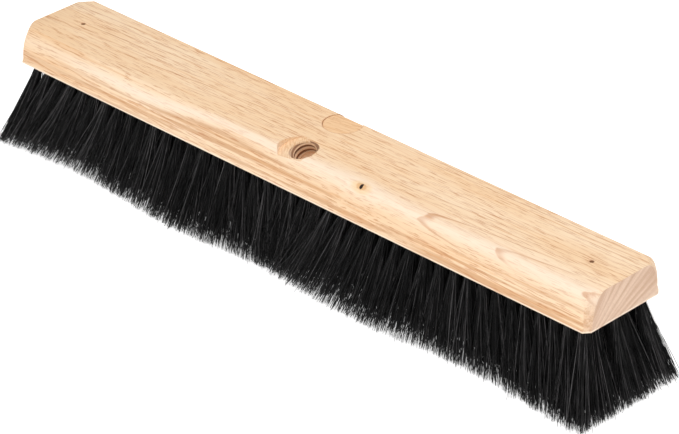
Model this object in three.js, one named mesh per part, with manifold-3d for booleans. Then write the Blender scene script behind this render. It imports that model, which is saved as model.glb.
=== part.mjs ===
// Push broom head: a one-piece hardwood block with a slanted, threaded handle socket, a plugged second
// socket, two jig pin holes, and five staggered rows of bristle tufts seated in blind holes.
//
// Frame: millimetres, +Z up. +X runs along the block, -Y is the front, and the origin is the middle of
// the plane that the bristle tips stand on.

import * as THREE from 'three';
import { mergeGeometries, mergeVertices } from 'three/addons/utils/BufferGeometryUtils.js';
import Module from 'manifold-3d';

// Block
const BLOCK_LENGTH = 609.6;
const BLOCK_WIDTH = 85.7;
const BLOCK_THICKNESS = 30.2;
const BRISTLE_TRIM = 76.2; // free length below the block
const CORNER_CUT_X = 3.9; // plan size of each clipped corner at the underside
const CORNER_CUT_Y = 4.9;
const SIDE_LEAN = 1.2; // how far a side has leaned in where its round shoulder starts
const SHOULDER_START = 4; // height of that start above the underside
const SHOULDER_INSET = 9.7; // how far in from the side the flat top starts
const SHOULDER_STEPS = 6;
const ARRIS = 0.6; // small chamfer along the lower edge

// Handle socket, on the front half
const SOCKET_X = 4;
const SOCKET_Y = -25.5;
const SOCKET_TILT = THREE.MathUtils.degToRad(28); // from upright, leaning to the front
const SOCKET_DEPTH = 16.5; // along its axis, from the level of the top face
const MOUTH_RADIUS = 11.5;
const MOUTH_DEPTH = 3;
const THREAD_PITCH = 5.08;
const THREAD_MAJOR = 10.2;
const THREAD_MINOR = 9;
const THREAD_SIDES = 14;
const DRILL_RADIUS = 8.7; // plain drilled hole left below the last thread
const DRILL_RUNOUT = 2;
const SPOT_RADIUS = 17; // shallow spot face round the mouth, cut with the tool a little off square
const SPOT_X = 0.5;
const SPOT_DEPTH = 2;
const SPOT_TILT_FRONT = THREE.MathUtils.degToRad(11);
const SPOT_TILT_SIDE = THREE.MathUtils.degToRad(-6);

// Plug that closes the second socket, on the back half
const PLUG_X = -2;
const PLUG_Y = 24.5;
const PLUG_RADIUS = 15.7;
const PLUG_DEPTH = 12;
const PLUG_SINK = 0.4; // below the block's own surface
const GAP = 0.3; // clearance between neighbouring solids

// Jig pin holes in the top
const PIN_X = 272;
const PIN_RADIUS = 1.6;
const PIN_DEPTH = 8;

// Tufts
const ROWS = 5;
const LONG_ROW = 43; // tufts in rows 1, 3 and 5; the rows between have one fewer
const GROUPS_PER_ROW = 11;
const ROOT_HALF_LENGTH = 292;
const ROOT_HALF_WIDTH = 29.5;
const TIP_HALF_WIDTH = 43; // centre of the outer rows at the tips
const END_FLARE = 20; // how far the last tufts lean out beyond their roots
const FLARE_POWER = 6;
const ROOT_RADIUS = 3.6;
const HOLE_RADIUS = 4;
const HOLE_DEPTH = 9;
const TUFT_MERGE = 0.4; // how far the spread tips of one group run into each other
const OUTER_SPREAD = 6; // half width of a tuft's tip at a row's end

const TOP = BRISTLE_TRIM + BLOCK_THICKNESS;
const PITCH = (2 * ROOT_HALF_LENGTH) / (LONG_ROW - 1);

const wasm = await Module();
wasm.setup();

const wood = { color: 0xe3bd8c, roughness: 0.62, metalness: 0 };
const plugWood = { color: 0xd9aa72, roughness: 0.7, metalness: 0 };
const bristle = { color: 0x151314, roughness: 0.55, metalness: 0 };

// A closed geometry as a solid that can be joined and cut.
function solid(geometry) {
  const bare = new THREE.BufferGeometry();
  bare.setAttribute('position', geometry.getAttribute('position').clone());
  if (geometry.index) bare.setIndex(geometry.index.clone());
  const merged = mergeVertices(bare, 1e-4);
  return new wasm.Manifold(new wasm.Mesh({
    numProp: 3,
    vertProperties: Float32Array.from(merged.getAttribute('position').array),
    triVerts: Uint32Array.from(merged.index.array),
  }));
}

// The solid's surface as a geometry with flat shading.
function surface(body) {
  const mesh = body.getMesh();
  const indexed = new THREE.BufferGeometry();
  indexed.setAttribute('position', new THREE.BufferAttribute(mesh.vertProperties, 3));
  indexed.setIndex(new THREE.BufferAttribute(mesh.triVerts, 1));
  const flat = indexed.toNonIndexed();
  flat.computeVertexNormals();
  return flat;
}

function namedMesh(name, body, look) {
  const mesh = new THREE.Mesh(surface(body), new THREE.MeshStandardMaterial(look));
  mesh.name = name;
  return mesh;
}

// A closed skin through rings of points, lowest ring first, each ring anticlockwise seen from above.
function loft(rings) {
  const sides = rings[0].length;
  const points = rings.flat();
  const faces = [];
  for (let level = 0; level + 1 < rings.length; level++) {
    for (let side = 0; side < sides; side++) {
      const a = level * sides + side;
      const b = level * sides + ((side + 1) % sides);
      faces.push(a, b, b + sides, a, b + sides, a + sides);
    }
  }
  const last = (rings.length - 1) * sides;
  for (let side = 1; side + 1 < sides; side++) {
    faces.push(0, side + 1, side);
    faces.push(last, last + side, last + side + 1);
  }
  const geometry = new THREE.BufferGeometry();
  geometry.setAttribute('position', new THREE.Float32BufferAttribute(points.flatMap((p) => p.toArray()), 3));
  geometry.setIndex(faces);
  return geometry;
}

// A cylinder along +Z whose base is at z = 0.
function upright(radius, height, sides) {
  return new THREE.CylinderGeometry(radius, radius, height, sides)
    .rotateX(Math.PI / 2)
    .translate(0, 0, height / 2);
}

// Plan outline of the block where its long sides and clipped corners are inset; the ends stay upright.
function blockOutline(inset, z, shrink = 0) {
  const endX = BLOCK_LENGTH / 2 - shrink;
  const sideY = BLOCK_WIDTH / 2 - inset - shrink;
  const slope = CORNER_CUT_Y / CORNER_CUT_X;
  const slide = inset * Math.hypot(1, slope) - inset; // keeps a clipped corner parallel to itself
  const cornerY = sideY - CORNER_CUT_Y - slide;
  const cornerX = endX - (sideY - cornerY) / slope;
  const quarter = [[endX, cornerY], [cornerX, sideY]];
  return [
    ...quarter,
    [-cornerX, sideY], [-endX, cornerY],
    [-endX, -cornerY], [-cornerX, -sideY],
    [cornerX, -sideY], [endX, -cornerY],
  ].map(([x, y]) => new THREE.Vector3(x, y, z));
}

// The block without its holes. Sides lean in, then round over to the flat top on a quarter ellipse.
function blockBlank(shrink = 0) {
  const rings = [
    blockOutline(ARRIS, BRISTLE_TRIM + shrink, shrink),
    blockOutline(ARRIS * SIDE_LEAN / SHOULDER_START, BRISTLE_TRIM + ARRIS, shrink),
  ];
  for (let step = 0; step <= SHOULDER_STEPS; step++) {
    const turn = (step / SHOULDER_STEPS) * (Math.PI / 2);
    const rise = (BLOCK_THICKNESS - SHOULDER_START) * Math.sin(turn);
    const round = (SHOULDER_INSET - SIDE_LEAN) * (1 - Math.cos(turn));
    rings.push(blockOutline(SIDE_LEAN + round, BRISTLE_TRIM + SHOULDER_START + rise - shrink, shrink));
  }
  return solid(loft(rings));
}

// A rod with a helical ridge, standing on z = 0. Its rows of vertices climb one pitch in each turn, so
// a row ends where the row four places up begins.
function threadedRod(length) {
  const rowsPerPitch = 4;
  const rows = Math.ceil(length / THREAD_PITCH) * rowsPerPitch + 2 * rowsPerPitch;
  const points = [];
  for (let row = 0; row <= rows; row++) {
    const radius = row % rowsPerPitch < 2 ? THREAD_MAJOR : THREAD_MINOR;
    for (let side = 0; side < THREAD_SIDES; side++) {
      const turn = side / THREAD_SIDES;
      const z = THREAD_PITCH * (row / rowsPerPitch + turn - 1);
      const angle = turn * 2 * Math.PI;
      points.push(new THREE.Vector3(radius * Math.cos(angle), radius * Math.sin(angle), z));
    }
  }
  const at = (row, side) => row * THREAD_SIDES + side;
  const faces = [];
  for (let row = 0; row < rows; row++) {
    for (let side = 0; side + 1 < THREAD_SIDES; side++) {
      faces.push(at(row, side), at(row, side + 1), at(row + 1, side + 1));
      faces.push(at(row, side), at(row + 1, side + 1), at(row + 1, side));
    }
  }
  const end = THREAD_SIDES - 1;
  for (let row = 0; row + rowsPerPitch < rows; row++) {
    const up = row + rowsPerPitch;
    faces.push(at(row, end), at(up, 0), at(up + 1, 0));
    faces.push(at(row, end), at(up + 1, 0), at(row + 1, end));
  }
  const low = [];
  const high = [];
  for (let side = 0; side < THREAD_SIDES; side++) {
    low.push(at(0, side));
    high.push(at(rows, side));
  }
  for (let back = rowsPerPitch; back >= 1; back--) low.push(at(back, 0));
  for (let down = 1; down <= rowsPerPitch; down++) high.push(at(rows - down, end));
  const foot = points.push(new THREE.Vector3(0, 0, -2 * THREAD_PITCH)) - 1;
  const head = points.push(new THREE.Vector3(0, 0, THREAD_PITCH * (rows / rowsPerPitch + 1))) - 1;
  low.forEach((vertex, i) => faces.push(foot, low[(i + 1) % low.length], vertex));
  high.forEach((vertex, i) => faces.push(head, vertex, high[(i + 1) % high.length]));
  const geometry = new THREE.BufferGeometry();
  geometry.setAttribute('position', new THREE.Float32BufferAttribute(points.flatMap((p) => p.toArray()), 3));
  geometry.setIndex(faces);
  return geometry;
}

// Everything that the handle socket takes out of the block.
function socketCutter() {
  const above = 14; // the tools reach this far out of the top face
  const tapped = upright(THREAD_MAJOR + 1, SOCKET_DEPTH - DRILL_RUNOUT - 1, 24).translate(0, 0, DRILL_RUNOUT);
  const bore = solid(threadedRod(SOCKET_DEPTH))
    .intersect(solid(tapped))
    .add(solid(upright(DRILL_RADIUS, DRILL_RUNOUT + 1, THREAD_SIDES)));
  const mouthProfile = [
    new THREE.Vector2(0, SOCKET_DEPTH - MOUTH_DEPTH - 3),
    new THREE.Vector2(THREAD_MINOR - 0.1, SOCKET_DEPTH - MOUTH_DEPTH - 3),
    new THREE.Vector2(MOUTH_RADIUS, SOCKET_DEPTH - MOUTH_DEPTH),
    new THREE.Vector2(MOUTH_RADIUS, SOCKET_DEPTH + above),
    new THREE.Vector2(0, SOCKET_DEPTH + above),
  ];
  const mouth = solid(new THREE.LatheGeometry(mouthProfile, 32).rotateX(Math.PI / 2));
  const place = new THREE.Matrix4()
    .makeTranslation(SOCKET_X, SOCKET_Y, TOP)
    .multiply(new THREE.Matrix4().makeRotationX(SOCKET_TILT))
    .multiply(new THREE.Matrix4().makeTranslation(0, 0, -SOCKET_DEPTH));
  const socket = surface(bore.add(mouth)).applyMatrix4(place);

  const spotPlace = new THREE.Matrix4()
    .makeTranslation(SPOT_X, SOCKET_Y, TOP - SPOT_DEPTH)
    .multiply(new THREE.Matrix4().makeRotationX(SPOT_TILT_FRONT))
    .multiply(new THREE.Matrix4().makeRotationY(SPOT_TILT_SIDE));
  const spot = upright(SPOT_RADIUS, above, 40).applyMatrix4(spotPlace);
  return solid(socket).add(solid(spot));
}

// Roots of one row of tufts: their x positions, centred on the block.
function rowRoots(row) {
  const count = row % 2 === 0 ? LONG_ROW : LONG_ROW - 1;
  const roots = [];
  for (let i = 0; i < count; i++) roots.push((i - (count - 1) / 2) * PITCH);
  return roots;
}

const rowShare = (row) => (2 * row) / (ROWS - 1) - 1; // -1 at the front row, +1 at the back row
const rootY = (row) => ROOT_HALF_WIDTH * rowShare(row);
const tipY = (row) => TIP_HALF_WIDTH * rowShare(row);
const tipX = (x) => x + END_FLARE * Math.sign(x) * Math.abs(x / ROOT_HALF_LENGTH) ** FLARE_POWER;

// A six-sided ring with flats to left and right, from x = left to x = right.
function hexRing(left, right, y, halfDepth, z) {
  const middle = (left + right) / 2;
  return [
    [right, y - halfDepth / 2], [right, y + halfDepth / 2], [middle, y + halfDepth],
    [left, y + halfDepth / 2], [left, y - halfDepth / 2], [middle, y - halfDepth],
  ].map(([x, ringY]) => new THREE.Vector3(x, ringY, z));
}

// One tuft: a stem that sits in its hole, spreading from the underside of the block to its tips.
function tuft(x, row, left, right) {
  const y = rootY(row);
  const flat = ROOT_RADIUS * Math.cos(Math.PI / 6);
  const tipDepth = TIP_HALF_WIDTH / (ROWS - 1) - GAP / 2;
  return solid(loft([
    hexRing(left, right, tipY(row), tipDepth, 0),
    hexRing(x - flat, x + flat, y, ROOT_RADIUS, BRISTLE_TRIM),
    hexRing(x - flat, x + flat, y, ROOT_RADIUS, BRISTLE_TRIM + HOLE_DEPTH - GAP),
  ]));
}

// A row's tufts in groups whose tips have spread into each other; groups stay a gap apart.
function tuftGroups(row) {
  const roots = rowRoots(row);
  const groups = [];
  for (let group = 0; group < GROUPS_PER_ROW; group++) {
    const first = Math.round((group * roots.length) / GROUPS_PER_ROW);
    const end = Math.round(((group + 1) * roots.length) / GROUPS_PER_ROW);
    let body = null;
    for (let i = first; i < end; i++) {
      const tip = tipX(roots[i]);
      const halfLeft = i > 0 ? (tip - tipX(roots[i - 1])) / 2 : OUTER_SPREAD;
      const halfRight = i + 1 < roots.length ? (tipX(roots[i + 1]) - tip) / 2 : OUTER_SPREAD;
      const left = tip - halfLeft + (i > first ? -TUFT_MERGE : GAP / 2);
      const right = tip + halfRight + (i + 1 < end ? TUFT_MERGE : -GAP / 2);
      const one = tuft(roots[i], row, left, right);
      body = body ? body.add(one) : one;
    }
    groups.push(body);
  }
  return groups;
}

function tuftHoles() {
  const holes = [];
  for (let row = 0; row < ROWS; row++) {
    for (const x of rowRoots(row)) {
      holes.push(upright(HOLE_RADIUS, HOLE_DEPTH + 1, 6).translate(x, rootY(row), BRISTLE_TRIM - 1));
    }
  }
  return solid(mergeGeometries(holes));
}

function pinHoles() {
  const pin = (x) => upright(PIN_RADIUS, PIN_DEPTH + 1, 12).translate(x, 0, TOP - PIN_DEPTH);
  return solid(mergeGeometries([-PIN_X, PIN_X].map(pin)));
}

function plugCylinder(radius, depth) {
  return solid(upright(radius, depth + 5, 40).translate(PLUG_X, PLUG_Y, TOP - depth));
}

const block = blockBlank()
  .subtract(tuftHoles())
  .subtract(pinHoles())
  .subtract(plugCylinder(PLUG_RADIUS + GAP, PLUG_DEPTH + GAP))
  .subtract(socketCutter());
const plug = blockBlank(PLUG_SINK).intersect(plugCylinder(PLUG_RADIUS, PLUG_DEPTH));

const broomHead = new THREE.Group();
broomHead.add(namedMesh('block', block, wood));
broomHead.add(namedMesh('socket_plug', plug, plugWood));
for (let row = 0; row < ROWS; row++) {
  const rowGroup = new THREE.Group();
  tuftGroups(row).forEach((body, group) => {
    const number = String(group + 1).padStart(2, '0');
    rowGroup.add(namedMesh(`tufts_row_${row + 1}_group_${number}`, body, bristle));
  });
  broomHead.add(rowGroup);
}

export default broomHead;
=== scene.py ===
"""Looks of the push broom head: a fine wooden block, its plug, and the loose filaments of every tuft."""

import math

import bpy
import numpy as np
from mathutils import Matrix, Vector


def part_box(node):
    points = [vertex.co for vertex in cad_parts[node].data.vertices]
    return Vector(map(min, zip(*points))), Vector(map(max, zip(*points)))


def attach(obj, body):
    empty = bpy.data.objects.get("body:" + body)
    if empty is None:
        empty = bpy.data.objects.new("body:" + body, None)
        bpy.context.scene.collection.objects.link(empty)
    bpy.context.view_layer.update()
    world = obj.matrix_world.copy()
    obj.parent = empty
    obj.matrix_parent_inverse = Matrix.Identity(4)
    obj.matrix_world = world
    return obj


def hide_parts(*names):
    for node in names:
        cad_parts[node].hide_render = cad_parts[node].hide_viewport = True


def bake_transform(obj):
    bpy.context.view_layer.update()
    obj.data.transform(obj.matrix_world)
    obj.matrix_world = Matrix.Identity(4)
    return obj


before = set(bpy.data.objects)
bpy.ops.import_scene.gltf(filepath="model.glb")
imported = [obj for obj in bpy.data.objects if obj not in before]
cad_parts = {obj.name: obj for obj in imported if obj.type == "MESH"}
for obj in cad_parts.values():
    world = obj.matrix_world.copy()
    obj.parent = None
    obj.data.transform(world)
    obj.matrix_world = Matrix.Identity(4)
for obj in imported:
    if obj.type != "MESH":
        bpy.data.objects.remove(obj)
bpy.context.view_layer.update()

MM = 0.001

# Places and sizes of the CAD design, in metres
BLOCK_LOW, BLOCK_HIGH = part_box("block")
UNDERSIDE = BLOCK_LOW.z
TOP = BLOCK_HIGH.z
THICKNESS = TOP - UNDERSIDE
HALF_LENGTH = BLOCK_HIGH.x
HALF_WIDTH = 42.85 * MM
CORNER_CUT_X = 3.9 * MM
CORNER_CUT_Y = 4.9 * MM
SIDE_LEAN = 1.2 * MM
SHOULDER_START = 4 * MM
SHOULDER_INSET = 9.7 * MM
ARRIS = 0.6 * MM

SOCKET_MOUTH = Vector((4 * MM, -25.5 * MM, TOP))
SOCKET_TILT = math.radians(28)
SOCKET_DEPTH = 16.5 * MM
DRILL_RADIUS = 8.7 * MM
DRILL_RUNOUT = 2 * MM
MOUTH_RADIUS = 11.5 * MM
MOUTH_DEPTH = 3 * MM
THREAD_PITCH = 5.08 * MM
THREAD_MAJOR = 10.2 * MM
THREAD_MINOR = 9 * MM
SPOT_RADIUS = 17 * MM
SPOT_CENTRE = Vector((0.5 * MM, -25.5 * MM, TOP - 2 * MM))
SPOT_TILT_FRONT = math.radians(11)
SPOT_TILT_SIDE = math.radians(-6)

PLUG_CENTRE = Vector((-2 * MM, 24.5 * MM, TOP))
PLUG_RADIUS = 15.7 * MM
POCKET_RADIUS = 16 * MM
PLUG_DEPTH = 12 * MM
POCKET_DEPTH = 12.3 * MM
PLUG_SINK = 0.4 * MM

PIN_X = 272 * MM
PIN_RADIUS = 1.6 * MM
PIN_DEPTH = 8 * MM
KNOT = Vector((75.4 * MM, -35.3 * MM, TOP - 1 * MM))

ROWS = 5
LONG_ROW = 43
GROUPS_PER_ROW = 11
ROOT_HALF_LENGTH = 292 * MM
ROOT_HALF_WIDTH = 29.5 * MM
TIP_HALF_WIDTH = 43 * MM
HOLE_RADIUS = 4 * MM
HOLE_DEPTH = 9 * MM
PITCH = 2 * ROOT_HALF_LENGTH / (LONG_ROW - 1)

# Details that the CAD design leaves out
EDGE_ROUNDING = 0.7 * MM
CUTTER_RISE = 30 * MM
PIN_CHAMFER = 0.4 * MM
THREAD_SHARPNESS = 2.2

# Camera and lamps
CAMERA_AZIMUTH = math.radians(44.135)
CAMERA_ELEVATION = math.radians(29.945)
CAMERA_TARGET = Vector((0.06015, -0.04322, UNDERSIDE))
CAMERA_DISTANCE = 2.7043
CAMERA_LENS = 190.15
WORLD_STRENGTH = 0.44
FLOOR_HALF = 60.0
FLOOR_GREY = (0.86, 0.86, 0.86, 1)
FLOOR_GLOW = 0.6
WHITE = (1, 1, 1, 1)

# Wood: growth rings are arches along the front crest that open to the right
CREST_Y = -37 * MM
RING_DEPTH = 46.5 * MM
RING_SLOPE = 0.05
RING_SPACING = 4.4 * MM
PITH_Y = -52 * MM
PITH_Z = TOP - 50 * MM
KNOT_PUSH = 3.2 * MM
KNOT_REACH_X = 20 * MM
KNOT_REACH_Y = 11 * MM
PLUG_TURN = 0.16
PLUG_SHIFT = 21 * MM

# Noise cells per metre, along and across the grain
DRIFT = (4.0, 18.0)
WOBBLE = (16.0, 90.0)
PATCH = (9.0, 60.0)
FIBRE = (11.0, 620.0)
VESSEL = (70.0, 1150.0)
CLOUD = (5.0, 34.0)
STREAK = (6.0, 260.0)
PORE = (300.0, 1500.0)
SPECK = (500.0, 500.0)

# Wood colours, as screen values 0 to 255
PALE_WOOD = (250, 223, 190)
TAN_WOOD = (245, 209, 168)
HIGHLIGHT_CREAM = (253, 232, 210)
# The next colour is a painted highlight, on the front shoulder and along the lower edge
SIDE_WOOD = (213, 168, 127)
LATE_WOOD = (230, 182, 130)
LINE_WOOD = (190, 120, 66)
FIBRE_WOOD = (228, 174, 122)
VESSEL_WOOD = (190, 118, 64)
PLUG_WOOD = (242, 198, 150)
END_PALE = (233, 203, 179)
END_DARK = (208, 171, 144)
KNOT_HALO = (243, 204, 148)
KNOT_RIM = (214, 158, 96)
KNOT_CORE = (40, 24, 14)
# The next two colours are painted shade inside the socket and its thread grooves
BORE_SHADE = (228, 188, 150)
GROOVE_SHADE = (132, 88, 58)
# The next colour is painted shade in the pin holes
PIN_SHADE = (160, 104, 66)
TORN_PALE = (248, 214, 174)
TORN_DARK = (222, 172, 122)

# Filaments
FILAMENTS_PER_TUFT = 150
END_FILAMENTS = 200
FILAMENT_RADIUS = 0.235 * MM
RINGS = 9
SIDES = 3
BLACK = (0.0014, 0.0013, 0.0015, 1)
# The next colour is a painted highlight on some filaments
HIGHLIGHT_GREY = (0.115, 0.109, 0.112, 1)
PARTING = -14 * MM
LEFT_EDGE = -322 * MM
RIGHT_EDGE = 314 * MM
TIP_EDGE_Y = 51 * MM
FLOOR_GAP = 0.3 * MM
rng = np.random.default_rng(24)


# ---------------------------------------------------------------- camera, light and floor

def make_camera():
    """A long lens looking down on the head from its front right."""
    back = Vector((
        math.sin(CAMERA_AZIMUTH) * math.cos(CAMERA_ELEVATION),
        -math.cos(CAMERA_AZIMUTH) * math.cos(CAMERA_ELEVATION),
        math.sin(CAMERA_ELEVATION),
    ))
    data = bpy.data.cameras.new("camera")
    data.lens = CAMERA_LENS
    data.clip_start, data.clip_end = 0.05, 200
    camera = bpy.data.objects.new("camera", data)
    bpy.context.scene.collection.objects.link(camera)
    camera.location = CAMERA_TARGET + back * CAMERA_DISTANCE
    camera.rotation_mode = "QUATERNION"
    camera.rotation_quaternion = (-back).to_track_quat("-Z", "Y")
    bpy.context.scene.camera = camera


def make_light(name, place, size, power):
    """A square soft box at place, aimed at the middle of the head."""
    data = bpy.data.lights.new(name, "AREA")
    data.size = size
    data.energy = power
    light = bpy.data.objects.new(name, data)
    bpy.context.scene.collection.objects.link(light)
    light.location = place
    aim = Vector((0, 0, UNDERSIDE)) - Vector(place)
    light.rotation_mode = "QUATERNION"
    light.rotation_quaternion = aim.to_track_quat("-Z", "Y")


def make_studio():
    """Even white surroundings, three soft boxes and a pale floor."""
    world = bpy.data.worlds.new("studio")
    bpy.context.scene.world = world
    world.use_nodes = True
    world.node_tree.nodes["Background"].inputs["Color"].default_value = WHITE
    world.node_tree.nodes["Background"].inputs["Strength"].default_value = WORLD_STRENGTH
    make_light("key", (0.4, -1.6, 1.5), 1.0, 11.5)
    make_light("top", (0.2, 0.2, 2.2), 1.6, 23)
    make_light("side", (2.0, -0.9, 0.9), 1.0, 3)
    bpy.context.scene.view_settings.view_transform = "Standard"

    floor = square_object("floor", FLOOR_HALF)
    material = bpy.data.materials.new("pale_floor")
    material.use_nodes = True
    shader = material.node_tree.nodes["Principled BSDF"]
    shader.inputs["Base Color"].default_value = FLOOR_GREY
    shader.inputs["Roughness"].default_value = 0.9
    shader.inputs["Emission Color"].default_value = WHITE
    shader.inputs["Emission Strength"].default_value = FLOOR_GLOW
    floor.data.materials.append(material)


def square_object(name, half):
    """A flat square on z = 0."""
    corners = [(-half, -half, 0), (half, -half, 0), (half, half, 0), (-half, half, 0)]
    mesh = bpy.data.meshes.new(name)
    mesh.from_pydata(corners, [], [(0, 1, 2, 3)])
    made = bpy.data.objects.new(name, mesh)
    bpy.context.scene.collection.objects.link(made)
    return made


# ---------------------------------------------------------------- meshes

def mesh_object(name, points, faces):
    mesh = bpy.data.meshes.new(name)
    mesh.from_pydata([tuple(p) for p in points], [], faces)
    mesh.validate()
    mesh.update()
    made = bpy.data.objects.new(name, mesh)
    bpy.context.scene.collection.objects.link(made)
    return made


def loft(name, rings):
    """A closed skin through rings of points, lowest ring first."""
    sides = len(rings[0])
    faces = []
    for level in range(len(rings) - 1):
        for side in range(sides):
            a = level * sides + side
            b = level * sides + (side + 1) % sides
            faces.append((a, b, b + sides, a + sides))
    faces.append(tuple(reversed(range(sides))))
    last = (len(rings) - 1) * sides
    faces.append(tuple(range(last, last + sides)))
    return mesh_object(name, [p for ring in rings for p in ring], faces)


def circle(radius, z, sides):
    """A level ring of points round the z axis."""
    turns = [2 * math.pi * i / sides for i in range(sides)]
    return [(radius * math.cos(t), radius * math.sin(t), z) for t in turns]


def turned(name, profile, sides, matrix=None):
    """A closed turned shape from (radius, z) pairs, lowest first."""
    made = loft(name, [circle(radius, z, sides) for radius, z in profile])
    if matrix is not None:
        made.data.transform(matrix)
    return made


def modified(target, kind, **settings):
    """Applies one modifier to target's own mesh."""
    modifier = target.modifiers.new(kind.lower(), kind)
    for key, value in settings.items():
        setattr(modifier, key, value)
    depsgraph = bpy.context.evaluated_depsgraph_get()
    result = bpy.data.meshes.new_from_object(target.evaluated_get(depsgraph))
    target.modifiers.clear()
    target.data = result


def cut(target, cutter, operation="DIFFERENCE"):
    """Cuts target with cutter, which is used up."""
    modified(target, "BOOLEAN", operation=operation, object=cutter, solver="EXACT")
    bpy.data.objects.remove(cutter)


def shade(target, angle):
    """Smooth shading, except at edges sharper than angle in degrees."""
    for polygon in target.data.polygons:
        polygon.use_smooth = True
    target.data.set_sharp_from_angle(angle=math.radians(angle))


def outline(inset, z, shrink):
    """Plan outline of the block where its long sides and clipped corners are inset; the ends stay upright."""
    end_x = HALF_LENGTH - shrink
    side_y = HALF_WIDTH - inset - shrink
    slope = CORNER_CUT_Y / CORNER_CUT_X
    corner_y = side_y - CORNER_CUT_Y - inset * (math.hypot(1, slope) - 1)
    corner_x = end_x - (side_y - corner_y) / slope
    quarter = [(end_x, corner_y), (corner_x, side_y)]
    half = quarter + [(-x, y) for x, y in reversed(quarter)]
    return [(x, y, z) for x, y in half + [(-x, -y) for x, y in half]]


def blank(name, shrink=0.0, steps=18):
    """The block without its holes."""
    rings = [
        outline(ARRIS, UNDERSIDE + shrink, shrink),
        outline(ARRIS * 0.35, UNDERSIDE + shrink + ARRIS * 0.4, shrink),
        outline(ARRIS * SIDE_LEAN / SHOULDER_START, UNDERSIDE + shrink + ARRIS, shrink),
    ]
    for step in range(steps + 1):
        turn = step / steps * math.pi / 2
        rise = (THICKNESS - SHOULDER_START) * math.sin(turn)
        inset = SIDE_LEAN + (SHOULDER_INSET - SIDE_LEAN) * (1 - math.cos(turn))
        rings.append(outline(inset, UNDERSIDE + SHOULDER_START + rise - shrink, shrink))
    return loft(name, rings)


def thread_rod(name, sides=56, rows_per_pitch=8):
    """A rod with a rounded helical ridge, standing on z = 0: each row of points climbs one pitch a turn."""
    turns = math.ceil(SOCKET_DEPTH / THREAD_PITCH) + 2
    rows = turns * rows_per_pitch
    points = []
    for row in range(rows + 1):
        rise = math.sin(2 * math.pi * row / rows_per_pitch)
        wave = 0.5 + 0.5 * math.tanh(THREAD_SHARPNESS * rise) / math.tanh(THREAD_SHARPNESS)
        radius = THREAD_MINOR + (THREAD_MAJOR - THREAD_MINOR) * wave
        for side in range(sides):
            turn = side / sides
            z = THREAD_PITCH * (row / rows_per_pitch + turn - 1)
            angle = 2 * math.pi * turn
            points.append((radius * math.cos(angle), radius * math.sin(angle), z))

    def at(row, side):
        return row * sides + side

    faces = []
    end = sides - 1
    for row in range(rows):
        for side in range(end):
            faces.append((at(row, side), at(row, side + 1), at(row + 1, side + 1), at(row + 1, side)))
    for row in range(rows - rows_per_pitch):
        up = row + rows_per_pitch
        faces.append((at(row, end), at(up, 0), at(up + 1, 0), at(row + 1, end)))
    low = [at(0, side) for side in range(sides)] + [at(back, 0) for back in range(rows_per_pitch, 0, -1)]
    high = [at(rows, side) for side in range(sides)]
    high += [at(rows - down, end) for down in range(1, rows_per_pitch + 1)]
    points += [(0, 0, -2 * THREAD_PITCH), (0, 0, THREAD_PITCH * (turns + 1))]
    foot, head = len(points) - 2, len(points) - 1
    faces += [(foot, low[(i + 1) % len(low)], v) for i, v in enumerate(low)]
    faces += [(head, v, high[(i + 1) % len(high)]) for i, v in enumerate(high)]
    return mesh_object(name, points, faces)


def socket_matrix():
    """From the socket's own frame, whose floor is z = 0, to the row frame."""
    return (Matrix.Translation(SOCKET_MOUTH)
            @ Matrix.Rotation(SOCKET_TILT, 4, "X")
            @ Matrix.Translation((0, 0, -SOCKET_DEPTH)))


def cut_socket(block):
    """The spot face, the countersunk mouth, the thread and the drilled run-out below it."""
    above = 14 * MM
    overlap = 0.1 * MM
    place = socket_matrix()
    spot_place = (Matrix.Translation(SPOT_CENTRE)
                  @ Matrix.Rotation(SPOT_TILT_FRONT, 4, "X")
                  @ Matrix.Rotation(SPOT_TILT_SIDE, 4, "Y"))
    cut(block, turned("cutter", [(SPOT_RADIUS, 0), (SPOT_RADIUS, above)], 128, spot_place))
    cone = SOCKET_DEPTH - MOUTH_DEPTH
    mouth = [
        (THREAD_MINOR - overlap, cone - 3 * MM),
        (MOUTH_RADIUS, cone),
        (MOUTH_RADIUS, SOCKET_DEPTH + above),
    ]
    cut(block, turned("cutter", mouth, 128, place))
    cut(block, turned("cutter", [(DRILL_RADIUS, 0), (DRILL_RADIUS, DRILL_RUNOUT + 1 * MM)], 56, place))
    rod = thread_rod("cutter")
    cut(rod, turned("limit", [(12 * MM, DRILL_RUNOUT), (12 * MM, cone)], 32), "INTERSECT")
    rod.data.transform(place)
    cut(block, rod)


def joined(name, parts):
    """One object from several; the parts are used up."""
    points, faces = [], []
    for part in parts:
        start = len(points)
        points += [tuple(v.co) for v in part.data.vertices]
        faces += [tuple(i + start for i in p.vertices) for p in part.data.polygons]
        bpy.data.objects.remove(part)
    return mesh_object(name, points, faces)


def row_roots(row):
    """Where the tufts of a row stand along the block; every second row is one tuft shorter."""
    count = LONG_ROW if row % 2 == 0 else LONG_ROW - 1
    return (np.arange(count) - (count - 1) / 2) * PITCH


def row_share(row):
    """-1 for the front row to 1 for the back row."""
    return 2 * row / (ROWS - 1) - 1


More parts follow.
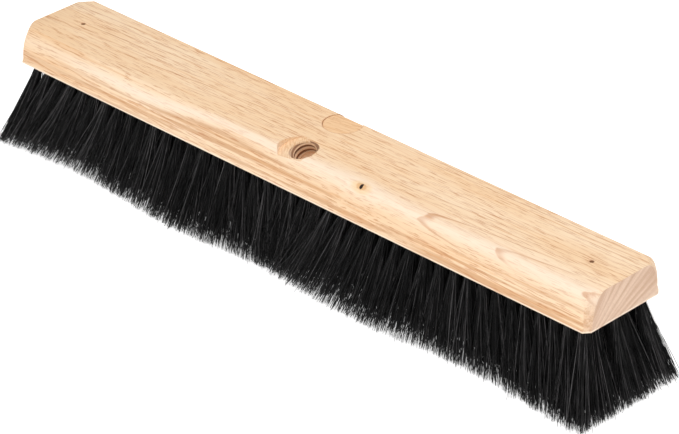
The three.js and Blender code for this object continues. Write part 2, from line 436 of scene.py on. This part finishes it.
def make_block():
    block = blank("wood_block")
    modified(block, "BEVEL", width=EDGE_ROUNDING, segments=3, limit_method="ANGLE",
             angle_limit=math.radians(28))
    holes = []
    for row in range(ROWS):
        for x in row_roots(row):
            place = Matrix.Translation((x, ROOT_HALF_WIDTH * row_share(row), UNDERSIDE))
            holes.append(turned("hole", [(HOLE_RADIUS, -1 * MM), (HOLE_RADIUS, HOLE_DEPTH)], 16, place))
    cut(block, joined("cutter", holes))
    for x in (-PIN_X, PIN_X):
        place = Matrix.Translation((x, 0, TOP - PIN_DEPTH))
        pin = [
            (PIN_RADIUS, 0),
            (PIN_RADIUS, PIN_DEPTH - PIN_CHAMFER),
            (PIN_RADIUS * 1.5, PIN_DEPTH + PIN_CHAMFER),
        ]
        cut(block, turned("cutter", pin, 28, place))
    pocket_place = Matrix.Translation(PLUG_CENTRE - Vector((0, 0, POCKET_DEPTH)))
    cut(block, turned("cutter", [(POCKET_RADIUS, 0), (POCKET_RADIUS, CUTTER_RISE)], 128, pocket_place))
    cut_socket(block)
    shade(block, 32)
    block.data.materials.append(block_wood())
    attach(block, "head")
    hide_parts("block")


def make_plug():
    plug = blank("wood_plug", PLUG_SINK)
    place = Matrix.Translation(PLUG_CENTRE - Vector((0, 0, PLUG_DEPTH)))
    cut(plug, turned("cutter", [(PLUG_RADIUS, 0), (PLUG_RADIUS, CUTTER_RISE)], 128, place), "INTERSECT")
    shade(plug, 32)
    plug.data.materials.append(plug_wood())
    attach(plug, "head")
    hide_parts("socket_plug")


# ---------------------------------------------------------------- materials

class Nodes:
    """A small helper that builds a node tree from expressions."""

    def __init__(self, name):
        self.material = bpy.data.materials.new(name)
        self.material.use_nodes = True
        self.tree = self.material.node_tree
        self.shader = self.tree.nodes["Principled BSDF"]

    def link(self, value, socket):
        if isinstance(value, bpy.types.NodeSocket):
            self.tree.links.new(value, socket)
        else:
            socket.default_value = value

    def math(self, operation, *values):
        node = self.tree.nodes.new("ShaderNodeMath")
        node.operation = operation
        for value, socket in zip(values, node.inputs):
            self.link(value, socket)
        return node.outputs[0]

    def add(self, a, b):
        return self.math("ADD", a, b)

    def sub(self, a, b):
        return self.math("SUBTRACT", a, b)

    def mul(self, a, b):
        return self.math("MULTIPLY", a, b)

    def hypot(self, a, b):
        return self.math("SQRT", self.add(self.mul(a, a), self.mul(b, b)))

    def vector(self, x, y, z):
        node = self.tree.nodes.new("ShaderNodeCombineXYZ")
        for value, socket in zip((x, y, z), node.inputs):
            self.link(value, socket)
        return node.outputs[0]

    def split(self, value):
        node = self.tree.nodes.new("ShaderNodeSeparateXYZ")
        self.link(value, node.inputs[0])
        return node.outputs

    def coordinates(self):
        return self.split(self.tree.nodes.new("ShaderNodeTexCoord").outputs["Object"])

    def geometry(self, name):
        return self.tree.nodes.new("ShaderNodeNewGeometry").outputs[name]

    def noise(self, place, detail=2.0, roughness=0.5):
        node = self.tree.nodes.new("ShaderNodeTexNoise")
        self.link(place, node.inputs["Vector"])
        node.inputs["Scale"].default_value = 1.0
        node.inputs["Detail"].default_value = detail
        node.inputs["Roughness"].default_value = roughness
        return node.outputs["Fac"]

    def grained(self, place, cells, detail=2.0, roughness=0.5):
        """Noise with its own cells per metre along x, and across it."""
        x, y, z = place
        along, across = cells
        return self.noise(self.vector(self.mul(x, along), self.mul(y, across), self.mul(z, across)),
                          detail, roughness)

    def spread(self, value, low, high, start=0.0, end=1.0):
        """value from low..high to start..end, smooth and clamped."""
        node = self.tree.nodes.new("ShaderNodeMapRange")
        node.interpolation_type = "SMOOTHSTEP"
        self.link(value, node.inputs["Value"])
        node.inputs["From Min"].default_value = low
        node.inputs["From Max"].default_value = high
        node.inputs["To Min"].default_value = start
        node.inputs["To Max"].default_value = end
        return node.outputs["Result"]

    def mix(self, share, a, b):
        node = self.tree.nodes.new("ShaderNodeMix")
        node.data_type = "RGBA"
        self.link(share, node.inputs["Factor"])
        self.link(a, node.inputs["A"])
        self.link(b, node.inputs["B"])
        return node.outputs["Result"]

    def hump(self, value, middle, width):
        """1 at middle, falling to nothing a few widths away."""
        away = self.mul(self.sub(value, middle), 1 / width)
        return self.math("EXPONENT", self.mul(self.mul(away, away), -1.0))

    def bump(self, height, distance, strength):
        """The normal of a surface raised by height times distance."""
        node = self.tree.nodes.new("ShaderNodeBump")
        node.inputs["Strength"].default_value = strength
        node.inputs["Distance"].default_value = distance
        self.link(height, node.inputs["Height"])
        return node.outputs["Normal"]


def srgb(colour):
    """A colour given in screen values 0 to 255, as linear with alpha."""
    def linear(value):
        value /= 255
        return value / 12.92 if value <= 0.04045 else ((value + 0.055) / 1.055) ** 2.4

    return tuple(linear(value) for value in colour) + (1.0,)


class Wood:
    """Pale hardwood with its grain along x. Each method lays one feature over the colour made so far."""

    def __init__(self, name):
        self.n = Nodes(name)
        self.x, self.y, self.z = self.n.coordinates()

    def set_grain(self, grain_x, grain_y):
        """Noises and growth rings of a piece of wood with the given grain coordinates."""
        n = self.n
        self.grain = grain_x, grain_y, self.z
        self.drift = n.grained(self.grain, DRIFT)
        self.wobble = n.grained(self.grain, WOBBLE, 3.0)
        self.fibre = n.grained(self.grain, FIBRE, 3.0, 0.6)
        self.vessel = n.spread(n.grained(self.grain, VESSEL), 0.55, 0.66)

        self.from_crest = n.add(n.sub(grain_y, CREST_Y), n.sub(self.z, TOP))
        depth = n.sub(RING_DEPTH, n.mul(grain_x, RING_SLOPE))
        radius = n.hypot(self.from_crest, depth)
        radius = n.add(radius, n.add(n.mul(self.drift, 0.006), n.mul(self.wobble, 0.0016)))
        ring = n.math("FRACT", n.mul(radius, 1 / RING_SPACING))
        ringed = n.math("MAXIMUM", n.spread(self.x, 60 * MM, 125 * MM),
                        n.spread(n.math("ABSOLUTE", self.from_crest), 14 * MM, 26 * MM))
        self.late = n.mul(ringed, n.mul(n.spread(ring, 0.45, 0.97), n.spread(ring, 1.0, 0.985)))
        self.line = n.mul(ringed, n.mul(n.spread(ring, 0.84, 0.94), n.spread(ring, 1.0, 0.97)))

        cloud = n.grained(self.grain, CLOUD, 3.0, 0.55)
        self.colour = n.mix(n.spread(cloud, 0.32, 0.68), srgb(PALE_WOOD), srgb(TAN_WOOD))
        self.height = n.add(n.mul(self.fibre, 0.4), n.mul(self.vessel, -0.35))

        # A painted highlight: a pale band along the rounded front shoulder wanders from the side up to the
        # crest, with browner wood below it
        band = n.spread(self.x, -165 * MM, -60 * MM, -10 * MM, -1 * MM)
        width = n.spread(self.x, -60 * MM, 60 * MM, 6 * MM, 11 * MM)
        wander = n.mul(n.sub(self.drift, 0.5), 0.012)
        past = n.math("DIVIDE", n.add(n.sub(self.from_crest, band), wander), width)
        self.shoulder_highlight = n.mul(n.hump(past, 0, 1), n.spread(self.x, -300 * MM, -150 * MM, 0.35, 1.0))
        self.brown = n.mul(n.spread(past, -0.9, -1.7), n.spread(self.x, -300 * MM, -150 * MM, 0.5, 1.0))

    def tint(self, share, colour):
        """Mixes the colour made so far with another, where share says so."""
        self.colour = self.n.mix(share, self.colour, srgb(colour))

    def add_side_streaks_and_shoulder_highlight(self):
        n = self.n
        streak = n.grained(self.grain, STREAK, 2.0, 0.6)
        self.tint(n.mul(self.brown, n.spread(streak, 0.40, 0.60, 0.1, 0.95)), SIDE_WOOD)
        # Painted highlight along the rounded front shoulder; the brown streaks above are wood colour
        self.tint(n.mul(self.shoulder_highlight, 0.8), HIGHLIGHT_CREAM)

    def add_grain_lines(self):
        n = self.n
        patchy = n.grained(self.grain, PATCH, 3.0)
        strength = n.spread(patchy, 0.38, 0.66, 0.1, 1.0)
        self.tint(n.mul(self.late, 0.06), LATE_WOOD)
        self.tint(n.mul(n.mul(self.line, strength), 0.62), LINE_WOOD)
        self.tint(n.mul(n.spread(self.fibre, 0.48, 0.70), n.sub(0.5, n.mul(self.shoulder_highlight, 0.3))), FIBRE_WOOD)
        self.tint(n.mul(self.vessel, n.sub(0.55, n.mul(self.shoulder_highlight, 0.35))), VESSEL_WOOD)

    def add_seam(self):
        """A thin broken line where the plug meets its pocket."""
        n = self.n
        off_plug = n.hypot(n.sub(self.x, PLUG_CENTRE.x), n.sub(self.y, PLUG_CENTRE.y))
        seam = n.hump(off_plug, (PLUG_RADIUS + POCKET_RADIUS) / 2, 0.55 * MM)
        seam = n.mul(seam, n.spread(self.wobble, 0.40, 0.56))
        seam = n.mul(seam, n.spread(self.z, TOP - 9 * MM, TOP - 7 * MM))
        self.tint(n.mul(seam, 0.6), VESSEL_WOOD)

    def add_end_grain(self):
        """Rays from a pith below the front, on the end faces and the clipped corners."""
        n = self.n
        facing = n.math("ABSOLUTE", n.split(n.geometry("Normal"))[0])
        near_end = n.spread(n.math("ABSOLUTE", self.x), HALF_LENGTH - 9 * MM, HALF_LENGTH - 5 * MM)
        across = n.mul(n.spread(facing, 0.62, 0.97), near_end)
        ray_y, ray_z = n.sub(self.y, PITH_Y), n.sub(self.z, PITH_Z)
        bearing = n.math("ARCTAN2", ray_z, ray_y)
        place = n.vector(n.mul(bearing, 17.0), n.mul(n.hypot(ray_y, ray_z), 14.0), n.mul(self.x, 3.0))
        rays = n.noise(place, 3.0, 0.6)
        pore_along, pore_across = PORE
        pores = n.noise(n.vector(n.mul(self.y, pore_across), n.mul(self.z, pore_across),
                                 n.mul(self.x, pore_along)))
        end_colour = n.mix(n.spread(rays, 0.34, 0.64), srgb(END_PALE), srgb(END_DARK))
        end_colour = n.mix(n.mul(n.spread(pores, 0.55, 0.7), 0.3), end_colour, srgb(VESSEL_WOOD))
        end_colour = n.mix(n.mul(self.line, 0.12), end_colour, srgb(END_DARK))
        self.colour = n.mix(n.mul(across, 0.95), self.colour, end_colour)

    def add_pin_shade_and_edge_highlight(self):
        """Painted shade darkens the two pin holes, and a painted highlight makes a paler, ragged lower edge.
        """
        n = self.n
        off_pin = n.hypot(n.sub(n.math("ABSOLUTE", self.x), PIN_X), self.y)
        # Painted shade in the pin holes
        self.tint(n.mul(n.spread(off_pin, PIN_RADIUS * 1.6, PIN_RADIUS * 0.9), 0.75), PIN_SHADE)
        # Painted highlight: a paler line along the lower edge, broken by noise
        low = n.spread(self.z, UNDERSIDE + 1.9 * MM, UNDERSIDE + 1.1 * MM)
        edge = n.mul(low, n.spread(self.wobble, 0.32, 0.5))
        self.tint(n.mul(edge, 0.75), HIGHLIGHT_CREAM)

    def add_knot(self, knot_x, knot_y):
        """A dark slit across the grain in an orange diamond."""
        n = self.n
        knot_z = n.sub(self.z, KNOT.z)
        halo = n.hypot(n.hypot(n.mul(knot_x, 1 / 1.7), knot_y), knot_z)
        slit = n.hypot(n.hypot(n.mul(knot_x, 1.25), n.mul(knot_y, 1 / 1.5)), knot_z)
        ragged = n.mul(n.sub(n.grained((self.x, self.y, self.z), SPECK), 0.5), 0.0016)
        self.tint(n.mul(n.spread(n.add(halo, ragged), 7 * MM, 4 * MM), 0.5), KNOT_HALO)
        self.tint(n.mul(n.spread(n.add(halo, ragged), 3.6 * MM, 2.2 * MM), 0.6), KNOT_RIM)
        core = n.spread(n.add(slit, ragged), 2.1 * MM, 1.5 * MM)
        self.tint(core, KNOT_CORE)
        self.height = n.sub(self.height, n.mul(core, 4.0))

    def add_socket(self):
        """Painted shade inside the socket: browner there, and darker in the grooves of its thread."""
        n = self.n
        inward = socket_matrix().inverted()

        def along(row):
            a, b, c, d = inward[row]
            return n.add(n.add(n.mul(self.x, a), n.mul(self.y, b)), n.add(n.mul(self.z, c), d))

        off_axis, height = n.hypot(along(0), along(1)), along(2)
        cone = SOCKET_DEPTH - MOUTH_DEPTH
        down = n.spread(height, SOCKET_DEPTH + 0.5 * MM, SOCKET_DEPTH - 5 * MM)
        inside = n.mul(n.spread(off_axis, MOUTH_RADIUS + 0.7 * MM, MOUTH_RADIUS + 0.1 * MM), down)
        # Painted shade inside the socket and in its thread grooves
        self.tint(n.mul(inside, 0.8), BORE_SHADE)
        groove_shade = n.mul(inside, n.spread(off_axis, THREAD_MINOR + 0.4 * MM, THREAD_MINOR + 1 * MM))
        groove_shade = n.mul(groove_shade, n.spread(height, cone, cone - 1 * MM))
        self.tint(n.mul(groove_shade, 0.9), GROOVE_SHADE)

    def add_spot_face(self):
        """Wood torn by the cutter on the slanted spot face."""
        n = self.n
        spot_x, spot_y = n.sub(self.x, SPOT_CENTRE.x), n.sub(self.y, SPOT_CENTRE.y)
        plane = n.add(n.mul(spot_x, -math.tan(SPOT_TILT_SIDE)), n.mul(spot_y, math.tan(SPOT_TILT_FRONT)))
        off_plane = n.math("ABSOLUTE", n.sub(n.add(plane, SPOT_CENTRE.z), self.z))
        within = n.spread(n.hypot(spot_x, spot_y), SPOT_RADIUS + 0.3 * MM, SPOT_RADIUS + 0.1 * MM)
        on_spot = n.mul(n.spread(off_plane, 0.35 * MM, 0.2 * MM), within)
        slanted = n.mul(n.add(self.x, n.mul(self.y, 0.8)), 1100.0)
        torn = n.noise(n.vector(slanted, n.mul(n.sub(self.y, self.x), 110.0), n.mul(self.z, 200.0)), 3.0, 0.6)
        torn_colour = n.mix(n.spread(torn, 0.35, 0.65), srgb(TORN_PALE), srgb(TORN_DARK))
        self.colour = n.mix(n.mul(on_spot, 0.7), self.colour, torn_colour)
        self.height = n.add(self.height, n.mul(n.mul(on_spot, torn), 3.0))

    def finished(self):
        n = self.n
        n.link(self.colour, n.shader.inputs["Base Color"])
        n.link(n.spread(self.fibre, 0.3, 0.7, 0.50, 0.66), n.shader.inputs["Roughness"])
        n.shader.inputs["Specular IOR Level"].default_value = 0.3
        n.link(n.bump(self.height, 0.00012, 0.7), n.shader.inputs["Normal"])
        return n.material


def block_wood():
    """The block's grain parts round its knot."""
    wood = Wood("block_wood")
    n = wood.n
    knot_x, knot_y = n.sub(wood.x, KNOT.x), n.sub(wood.y, KNOT.y)
    reach = n.mul(n.hump(knot_x, 0, KNOT_REACH_X), n.hump(knot_y, 0, KNOT_REACH_Y))
    push = n.mul(n.mul(reach, KNOT_PUSH), n.math("TANH", n.mul(knot_y, 1 / (2.5 * MM))))
    wood.set_grain(wood.x, n.sub(wood.y, push))
    wood.add_side_streaks_and_shoulder_highlight()
    wood.add_grain_lines()
    wood.add_seam()
    wood.add_end_grain()
    wood.add_pin_shade_and_edge_highlight()
    wood.add_knot(knot_x, knot_y)
    wood.add_socket()
    wood.add_spot_face()
    return wood.finished()


def plug_wood():
    """The plug is a more orange piece of wood, with its grain turned a little."""
    wood = Wood("plug_wood")
    n = wood.n
    cos, sin = math.cos(PLUG_TURN), math.sin(PLUG_TURN)
    grain_x = n.add(n.mul(wood.x, cos), n.mul(wood.y, sin))
    grain_y = n.add(n.sub(n.mul(wood.y, cos), n.mul(wood.x, sin)), PLUG_SHIFT)
    wood.set_grain(grain_x, grain_y)
    wood.tint(0.75, PLUG_WOOD)
    wood.add_grain_lines()
    wood.add_seam()
    return wood.finished()


def bristle_material():
    """Nearly black filaments, about one in four of them glossier and greyer, the grey a painted highlight."""
    n = Nodes("black_filament")
    strand = n.geometry("Random Per Island")
    x, y, z = n.coordinates()
    mottle = n.noise(n.vector(n.mul(x, 240.0), n.mul(y, 240.0), n.mul(z, 90.0)))
    # Painted highlight: a lighter base colour on about a quarter of the strands
    highlight_share = n.mul(n.spread(strand, 0.74, 1.0), n.spread(mottle, 0.3, 0.7, 0.5, 1.0))
    n.link(n.mix(highlight_share, BLACK, HIGHLIGHT_GREY), n.shader.inputs["Base Color"])
    n.link(n.spread(strand, 0.0, 1.0, 0.52, 0.34), n.shader.inputs["Roughness"])
    n.shader.inputs["Specular IOR Level"].default_value = 0.22
    n.link(n.bump(mottle, 0.00005, 0.4), n.shader.inputs["Normal"])
    return n.material


# ---------------------------------------------------------------- bristles

def hump(x, middle, width):
    """1 at middle, falling to nothing a few widths away."""
    return math.exp(-((x - middle) / width) ** 2)


def lean_along(x):
    """How far along the block a tuft rooted at x has been swept at its tips: outwards at both ends, and
    leftwards right of a parting near the middle."""
    if x < PARTING:
        outwards = -36 * MM * abs(x / ROOT_HALF_LENGTH) ** 1.6
        return outwards - 8 * MM * hump(x, -229 * MM, 30 * MM) + 9 * MM * hump(x, -40 * MM, 30 * MM)
    outwards = 10 * MM * (1 + math.tanh((x - 190 * MM) / (28 * MM)))
    return outwards - 27 * MM * hump(x, 46 * MM, 50 * MM if x < 46 * MM else 64 * MM)


def bunching(x):
    """Slow waves in how far the tips stand out at the front and the back."""
    return 1 + 0.08 * math.cos(2 * math.pi * (x + 111 * MM) / (198 * MM))


def folded(values, low, high):
    """Values past either edge come back inside it, at a third of the distance."""
    values = np.where(values < low, low + (low - values) * 0.3, values)
    return np.where(values > high, high - (values - high) * 0.3, values)


def tuft_filaments(row, index, roots):
    """Centre lines of one tuft's filaments, as an array of filaments by rings by 3."""
    count = FILAMENTS_PER_TUFT if 1 < index < len(roots) - 2 else END_FILAMENTS
    root = np.array([roots[index], ROOT_HALF_WIDTH * row_share(row)])
    place = roots[index] * ROOT_HALF_LENGTH / roots[-1]
    tip = np.array([place + lean_along(place), TIP_HALF_WIDTH * row_share(row) * bunching(place)])
    tip += rng.normal(0, (2.0 * MM, 1.2 * MM))
    reach = np.array([PITCH * 0.7, TIP_HALF_WIDTH / (ROWS - 1) * 1.05])

    share = np.sqrt(rng.uniform(0, 1, count))
    turn = rng.uniform(0, 2 * math.pi, count)
    disc = np.stack([np.cos(turn), np.sin(turn)], 1) * share[:, None]
    square = disc / np.maximum(np.abs(np.cos(turn)), np.abs(np.sin(turn)))[:, None]
    start = root + disc * (HOLE_RADIUS - 0.4 * MM)
    end = tip + square * reach + rng.normal(0, (6.5 * MM, 3.2 * MM), (count, 2))
    edge_y = TIP_EDGE_Y * bunching(place)
    end[:, 0] = folded(end[:, 0], LEFT_EDGE, RIGHT_EDGE)
    end[:, 1] = folded(end[:, 1], -edge_y, edge_y)
    end += rng.normal(0, (1.6 * MM, 1.2 * MM), (count, 2))
    stray = rng.uniform(0, 1, count) < 0.04
    end += stray[:, None] * rng.uniform(-1, 1, (count, 2)) * (6 * MM, 6 * MM)
    sweep = end - start

    trim = np.abs(rng.normal(0, 1.5 * MM, count))
    trim += (rng.uniform(0, 1, count) < 0.12) * rng.uniform(1 * MM, 7 * MM, count)
    drop = UNDERSIDE - FLOOR_GAP - trim

    stem = HOLE_DEPTH * 0.7
    s = np.linspace(0, 1, RINGS)
    depth = (stem + drop)[:, None] * s
    below = np.clip((depth - stem) / drop[:, None], 0, 1)
    splay = rng.uniform(0.0, 0.4, count)[:, None]
    along = below * (1 - splay) + splay * below ** 2
    bow = rng.normal(0, 1.1 * MM, (count, 2))[:, None, :] * (np.sin(math.pi * below) * below)[:, :, None]
    lines = np.empty((count, RINGS, 3))
    lines[:, :, :2] = start[:, None, :] + sweep[:, None, :] * along[:, :, None] + bow
    lines[:, :, 2] = UNDERSIDE + stem - depth
    return lines


def filament_mesh(name, lines):
    """Three-sided closed filaments along centre lines, as one mesh."""
    count = len(lines)
    tangent = np.gradient(lines, axis=1)
    tangent /= np.linalg.norm(tangent, axis=2, keepdims=True)
    side = np.cross(tangent, np.array([0.0, 1.0, 0.0]))
    side /= np.linalg.norm(side, axis=2, keepdims=True)
    other = np.cross(tangent, side)
    twist = rng.uniform(0, 2 * math.pi, count)[:, None, None]
    radius = FILAMENT_RADIUS * rng.uniform(0.8, 1.15, count)[:, None, None]
    taper = np.ones(RINGS)
    taper[-1] = 0.72
    rings = []
    for corner in range(SIDES):
        angle = twist + 2 * math.pi * corner / SIDES
        rings.append(lines + (side * np.cos(angle) + other * np.sin(angle)) * radius * taper[None, :, None])
    points = np.stack(rings, 2).reshape(-1, 3)

    start = (np.arange(count) * RINGS * SIDES)[:, None]
    quads = []
    for level in range(RINGS - 1):
        for corner in range(SIDES):
            a, b = level * SIDES + corner, level * SIDES + (corner + 1) % SIDES
            quads.append([a, a + SIDES, b + SIDES, b])
    quads = (start[:, :, None] + np.array(quads)[None]).reshape(-1)
    last = (RINGS - 1) * SIDES
    caps = (start[:, :, None] + np.array([[0, 1, 2], [last + 2, last + 1, last]])[None]).reshape(-1)

    n_quads, n_caps = len(quads) // 4, len(caps) // 3
    mesh = bpy.data.meshes.new(name)
    mesh.vertices.add(len(points))
    mesh.vertices.foreach_set("co", points.astype(np.float32).ravel())
    mesh.loops.add(len(quads) + len(caps))
    mesh.loops.foreach_set("vertex_index", np.concatenate([quads, caps]).astype(np.int32))
    mesh.polygons.add(n_quads + n_caps)
    starts = np.concatenate([np.arange(n_quads) * 4, n_quads * 4 + np.arange(n_caps) * 3])
    mesh.polygons.foreach_set("loop_start", starts.astype(np.int32))
    smooth = np.concatenate([np.ones(n_quads, bool), np.zeros(n_caps, bool)])
    mesh.polygons.foreach_set("use_smooth", smooth)
    mesh.update(calc_edges=True)
    made = bpy.data.objects.new(name, mesh)
    bpy.context.scene.collection.objects.link(made)
    return made


def make_bristles():
    material = bristle_material()
    for row in range(ROWS):
        roots = row_roots(row)
        for group in range(GROUPS_PER_ROW):
            first = math.floor(group * len(roots) / GROUPS_PER_ROW + 0.5)
            end = math.floor((group + 1) * len(roots) / GROUPS_PER_ROW + 0.5)
            lines = np.concatenate([tuft_filaments(row, index, roots) for index in range(first, end)])
            piece = filament_mesh(f"filaments_row_{row + 1}_group_{group + 1:02d}", lines)
            piece.data.materials.append(material)
            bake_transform(piece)
            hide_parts(f"tufts_row_{row + 1}_group_{group + 1:02d}")


make_camera()
make_studio()
make_block()
make_plug()
make_bristles()
